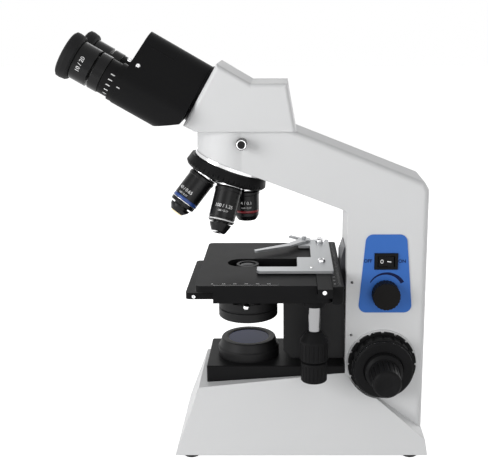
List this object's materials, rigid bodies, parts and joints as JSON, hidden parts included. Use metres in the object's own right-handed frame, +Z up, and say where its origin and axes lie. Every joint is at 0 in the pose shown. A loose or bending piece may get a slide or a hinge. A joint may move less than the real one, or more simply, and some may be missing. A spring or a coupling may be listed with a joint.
{
  "type": "binocular microscope",
  "caption": "Upright binocular microscope with inclined twin eyepieces, revolving nosepiece, mechanical stage, condenser, base illuminator and coaxial focus knobs.",
  "frame": {"origin": "on the bench, under the optical axis, midway between the feet from left to right", "axes": "+Z up, -Y towards the user, +X to the user's right"},
  "size_m": [0.174, 0.3311, 0.3854],
  "materials": {
    "casting_paint": "satin",
    "black_paint": "satin",
    "black_steel": "satin",
    "black_plastic": "matte",
    "fine_knob_mix": "matte",
    "eyepiece_black": "satin",
    "black_rubber": "matte",
    "lens_glass": "gloss",
    "blue_glass": "gloss",
    "blue_panel": "satin",
    "bright_metal": "gloss",
    "holder_metal": "satin",
    "bush_brass": "satin",
    "led_board": "satin"
  },
  "bodies": {
    "stand": {"base_casting": "casting_paint", "bottom_plate": "black_paint", "rubber_feet": "black_rubber", "arm_casting": "casting_paint", "guide_rail": "black_steel", "illuminator_housing": "black_paint", "field_lens_ring": "black_paint", "field_filter": "blue_glass", "led_module": "led_board", "control_panel": "blue_panel", "switch_body": "black_plastic", "nosepiece_base": "bright_metal", "power_inlet": "black_plastic", "focus_bushes": "bush_brass"},
    "head": {"head_casting": "casting_paint", "hinge_flange": "black_paint"},
    "wing_right": {"wing_right": "black_paint"},
    "wing_left": {"wing_left": "black_paint"},
    "dioptre_right": {"dioptre_ring_right": "black_plastic"},
    "dioptre_left": {"dioptre_ring_left": "black_plastic"},
    "eyepiece_right": {"eyepiece_right": "eyepiece_black", "eyecup_right": "black_rubber", "eye_lens_right": "lens_glass"},
    "eyepiece_left": {"eyepiece_left": "eyepiece_black", "eyecup_left": "black_rubber", "eye_lens_left": "lens_glass"},
    "turret": {"turret": "black_paint", "objective_4": "eyepiece_black", "objective_10": "eyepiece_black", "objective_40": "eyepiece_black", "objective_100": "eyepiece_black", "dust_plug": "black_plastic"},
    "tip_40": {"objective_40_tip": "bright_metal"},
    "tip_100": {"objective_100_tip": "bright_metal"},
    "lock_screw": {"lock_screw": "bright_metal"},
    "carriage": {"stage_bracket": "black_paint", "focus_rack": "black_steel", "stage_lower_plate": "black_paint"},
    "coarse": {"focus_shaft": "black_steel", "coarse_knob_right": "black_plastic", "coarse_knob_left": "black_plastic"},
    "fine": {"fine_knob_right": "fine_knob_mix", "fine_knob_left": "black_plastic"},
    "tension_ring": {"tension_ring": "black_plastic"},
    "y_stage": {"stage_upper_plate": "black_paint", "x_rail": "black_paint", "drive_sleeve": "bright_metal"},
    "x_carriage": {"x_slide_bar": "black_paint", "slide_holder": "holder_metal"},
    "finger": {"slide_finger": "holder_metal"},
    "y_knob": {"y_knob": "black_plastic"},
    "x_knob": {"x_knob": "black_plastic"},
    "condenser": {"condenser_carrier": "black_paint", "condenser_body": "black_paint", "condenser_lens": "lens_glass"},
    "condenser_knob": {"condenser_knob": "black_plastic"},
    "iris_lever": {"iris_lever": "bright_metal"},
    "condenser_clamp": {"condenser_clamp": "bright_metal"},
    "rocker": {"rocker": "black_plastic"},
    "dimmer": {"dimmer_knob": "black_plastic"}
  },
  "joints": [
    {"name": "head_swivel", "type": "hinge", "parent": "stand", "child": "head", "pos_m": [0, 0, 0.3], "axis": [0, 0, 1], "continuous": true},
    {"name": "wing_right_fold", "type": "hinge", "parent": "head", "child": "wing_right", "pos_m": [0, -0.06578, 0.35206], "axis": [0, -0.866, 0.5], "range_deg": [-3.7, 26.3]},
    {"name": "wing_left_fold", "type": "hinge", "parent": "head", "child": "wing_left", "pos_m": [0, -0.06578, 0.35206], "axis": [0, -0.866, 0.5], "range_deg": [-26.4, 3.8]},
    {"name": "eyepiece_right_focus", "type": "slide", "parent": "wing_right", "child": "eyepiece_right", "axis": [0, -0.866, 0.5], "range_m": [-0.0012, 0.002]},
    {"name": "dioptre_right_turn", "type": "hinge", "parent": "wing_right", "child": "dioptre_right", "pos_m": [0.027, -0.12409, 0.35108], "axis": [0, -0.866, 0.5], "range_deg": [-108.5, 180.5]},
    {"name": "eyepiece_left_focus", "type": "slide", "parent": "wing_left", "child": "eyepiece_left", "axis": [0, -0.866, 0.5], "range_m": [-0.0012, 0.002]},
    {"name": "dioptre_left_turn", "type": "hinge", "parent": "wing_left", "child": "dioptre_left", "pos_m": [-0.027, -0.12409, 0.35108], "axis": [0, -0.866, 0.5], "range_deg": [-108.5, 180.5]},
    {"name": "nosepiece_turn", "type": "hinge", "parent": "stand", "child": "turret", "pos_m": [0, -0.01552, 0.26595], "axis": [0, -0.3584, -0.9336], "continuous": true},
    {"name": "tip_100_spring", "type": "slide", "parent": "turret", "child": "tip_100", "axis": [0.3408, -0.2312, -0.9113], "range_m": [-0.0016, 0], "stiffness_N_per_m": 400, "springref_m": 0.002},
    {"name": "tip_40_spring", "type": "slide", "parent": "turret", "child": "tip_40", "axis": [0.2106, -0.6052, -0.7677], "range_m": [-0.0016, 0], "stiffness_N_per_m": 400, "springref_m": 0.002},
    {"name": "head_lock", "type": "hinge", "parent": "stand", "child": "lock_screw", "pos_m": [0.04, -0.0022, 0.29], "axis": [-1, 0, 0], "range_deg": [0, 360]},
    {"name": "focus_slide", "type": "slide", "parent": "stand", "child": "carriage", "axis": [0, 0, 1], "range_m": [-0.001, 0.028]},
    {"name": "coarse_turn", "type": "hinge", "parent": "stand", "child": "coarse", "pos_m": [0, 0.1262, 0.0832], "axis": [1, 0, 0], "range_deg": [-268, 10]},
    {"name": "fine_turn", "type": "hinge", "parent": "coarse", "child": "fine", "pos_m": [0, 0.1262, 0.0832], "axis": [1, 0, 0], "continuous": true},
    {"name": "tension_turn", "type": "hinge", "parent": "stand", "child": "tension_ring", "pos_m": [0.038, 0.1262, 0.0832], "axis": [1, 0, 0], "range_deg": [-60, 60]},
    {"name": "stage_y_slide", "type": "slide", "parent": "carriage", "child": "y_stage", "axis": [0, 1, 0], "range_m": [-0.046, 0]},
    {"name": "y_knob_turn", "type": "hinge", "parent": "y_stage", "child": "y_knob", "pos_m": [0.06, 0.062, 0.11], "axis": [0, 0, 1], "range_deg": [-440, 1]},
    {"name": "stage_x_slide", "type": "slide", "parent": "y_stage", "child": "x_carriage", "axis": [1, 0, 0], "range_m": [-0.021, 0.055]},
    {"name": "x_knob_turn", "type": "hinge", "parent": "y_stage", "child": "x_knob", "pos_m": [0.06, 0.062, 0.086], "axis": [0, 0, 1], "range_deg": [-701, 268]},
    {"name": "finger_open", "type": "hinge", "parent": "x_carriage", "child": "finger", "pos_m": [-0.066, 0.055, 0.176], "axis": [0, 0, 1], "range_deg": [-28, 0], "stiffness_Nm_per_rad": 0.05, "springref_deg": 14.32},
    {"name": "condenser_slide", "type": "slide", "parent": "carriage", "child": "condenser", "axis": [0, 0, 1], "range_m": [-0.02, 0]},
    {"name": "condenser_knob_turn", "type": "hinge", "parent": "carriage", "child": "condenser_knob", "pos_m": [-0.03, 0.049, 0.121], "axis": [1, 0, 0], "range_deg": [-0.5, 219]},
    {"name": "iris_turn", "type": "hinge", "parent": "condenser", "child": "iris_lever", "pos_m": [0, 0, 0.1385], "axis": [0, 0, 1], "range_deg": [-24, 24]},
    {"name": "condenser_clamp_turn", "type": "hinge", "parent": "condenser", "child": "condenser_clamp", "pos_m": [0, -0.034, 0.14675], "axis": [0, 1, 0], "range_deg": [0, 360]},
    {"name": "switch_press", "type": "hinge", "parent": "stand", "child": "rocker", "pos_m": [0.03329, 0.128, 0.18199], "axis": [-0.027, 0, 0.9996], "range_deg": [0, 16]},
    {"name": "dimmer_turn", "type": "hinge", "parent": "stand", "child": "dimmer", "pos_m": [0.04029, 0.128, 0.15177], "axis": [0.9996, 0, 0.027], "range_deg": [-135, 135]}
  ],
  "couplings": [
    {"joint": "wing_left_fold", "follows": "wing_right_fold", "ratio": -1},
    {"joint": "dioptre_right_turn", "follows": "eyepiece_right_focus", "rad_per_m": 1570.8},
    {"joint": "dioptre_left_turn", "follows": "eyepiece_left_focus", "rad_per_m": 1570.8},
    {"joint": "coarse_turn", "follows": "focus_slide", "rad_per_m": -166.67},
    {"joint": "y_knob_turn", "follows": "stage_y_slide", "rad_per_m": 166.67},
    {"joint": "x_knob_turn", "follows": "stage_x_slide", "rad_per_m": -222.22},
    {"joint": "condenser_knob_turn", "follows": "condenser_slide", "rad_per_m": -190.48}
  ]
}
